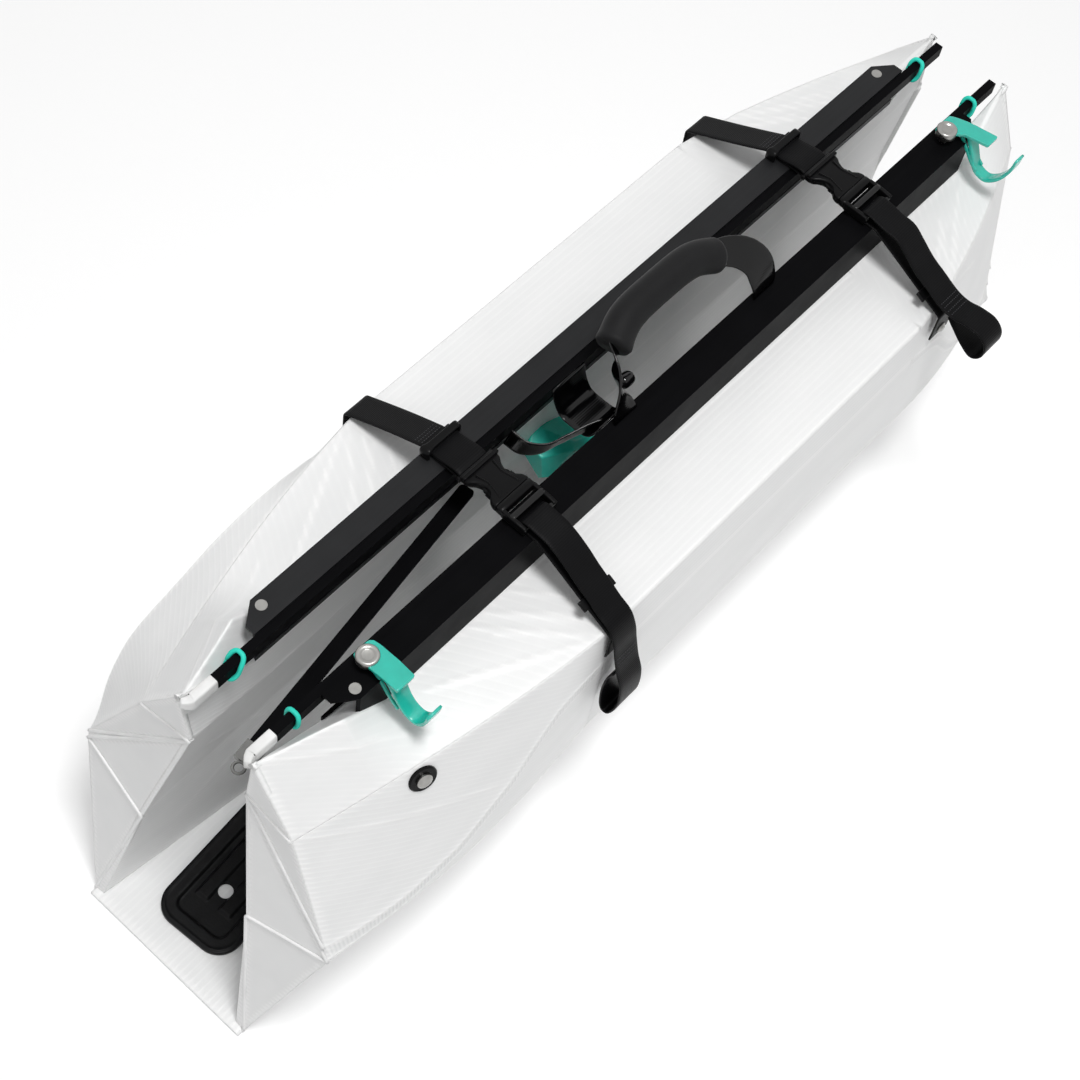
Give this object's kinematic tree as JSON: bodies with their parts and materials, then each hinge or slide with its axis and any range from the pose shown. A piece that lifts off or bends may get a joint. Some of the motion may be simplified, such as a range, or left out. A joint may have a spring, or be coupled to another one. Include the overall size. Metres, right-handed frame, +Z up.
{
  "type": "folding kayak",
  "caption": "Folding kayak of white corrugated sheet, folded and strapped into a carry bundle with side rails, a foam carry handle and paddle hooks.",
  "frame": {"origin": "middle of the floor panel's underside, on the surface that the bundle stands on", "axes": "+X runs along the bundle to its far end, +Y to its left wing, +Z up"},
  "size_m": [1.0734, 0.3356, 0.41],
  "materials": {
    "sheet": "white translucent corrugated plastic sheet, satin, with fine flute lines",
    "rail": "black satin anodised extrusion",
    "moulded": "black moulded plastic",
    "webbing": "black woven webbing",
    "foam": "matte black foam",
    "hook": "translucent teal plastic",
    "cord": "teal cord",
    "bag": "teal coated cloth",
    "steel": "bright steel",
    "sleeve": "white plastic sleeve"
  },
  "bodies": {
    "floor": {"floor_panel": "sheet", "foot_plate": "moulded"},
    "left_wing": {"left_side_panel": "sheet", "left_shoulder_panel": "sheet", "left_inner_wall": "sheet", "left_near_gusset": "sheet", "left_far_gusset": "sheet", "left_rail": "rail", "left_rail_near_screw": "steel", "left_rail_far_screw": "steel", "left_batten": "rail", "left_batten_sleeve": "sleeve", "left_near_cord_loop": "cord", "left_far_cord_loop": "cord", "left_side_washer": "moulded", "left_side_bolt": "steel", "near_strap_left_webbing": "webbing", "near_strap_slider": "moulded", "near_buckle_socket": "moulded", "far_strap_left_webbing": "webbing", "far_strap_slider": "moulded", "far_buckle_socket": "moulded", "loose_batten": "rail", "loose_batten_clip": "steel", "soft_bag": "bag", "near_strap_left_bolt": "steel", "far_strap_left_bolt": "steel"},
    "right_wing": {"right_side_panel": "sheet", "right_shoulder_panel": "sheet", "right_inner_wall": "sheet", "right_near_gusset": "sheet", "right_far_gusset": "sheet", "right_rail": "rail", "right_rail_near_screw": "steel", "right_rail_far_screw": "steel", "right_batten": "rail", "right_batten_sleeve": "sleeve", "right_near_cord_loop": "cord", "right_far_cord_loop": "cord", "right_side_washer": "moulded", "right_side_bolt": "steel", "near_buckle_plug": "moulded", "near_strap_right_webbing": "webbing", "far_buckle_plug": "moulded", "far_strap_right_webbing": "webbing", "handle_sling": "webbing", "near_strap_right_bolt": "steel", "far_strap_right_bolt": "steel"},
    "near_hook": {"near_hook": "hook"},
    "near_thumb_bolt": {"near_thumb_bolt": "steel"},
    "far_hook": {"far_hook": "hook"},
    "far_thumb_bolt": {"far_thumb_bolt": "steel"},
    "handle": {"handle_grip": "foam", "handle_band": "webbing"}
  },
  "joints": [
    {"name": "right_wing_fold", "type": "hinge", "parent": "floor", "child": "right_wing", "pos_m": [0, -0.088, 0], "axis": [1, 0, 0], "range_deg": [0, 60]},
    {"name": "left_wing_fold", "type": "hinge", "parent": "floor", "child": "left_wing", "pos_m": [0, 0.088, 0], "axis": [-1, 0, 0], "range_deg": [0, 60]},
    {"name": "handle_swing", "type": "hinge", "parent": "right_wing", "child": "handle", "pos_m": [0.03, -0.036, 0.3515], "axis": [1, 0, 0], "range_deg": [-28, 110]},
    {"name": "near_hook_swivel", "type": "hinge", "parent": "right_wing", "child": "near_hook", "pos_m": [-0.352, -0.0395, 0.3506], "axis": [0, 0, 1], "range_deg": [-30, 18]},
    {"name": "far_hook_swivel", "type": "hinge", "parent": "right_wing", "child": "far_hook", "pos_m": [0.355, -0.0395, 0.3506], "axis": [0, 0, 1], "range_deg": [-43, 5]},
    {"name": "near_thumb_bolt_turn", "type": "hinge", "parent": "right_wing", "child": "near_thumb_bolt", "pos_m": [-0.352, -0.0395, 0.3506], "axis": [0, 0, 1], "continuous": true},
    {"name": "far_thumb_bolt_turn", "type": "hinge", "parent": "right_wing", "child": "far_thumb_bolt", "pos_m": [0.355, -0.0395, 0.3506], "axis": [0, 0, 1], "continuous": true}
  ],
  "couplings": [
    {"joint": "left_wing_fold", "follows": "right_wing_fold", "ratio": 1}
  ]
}
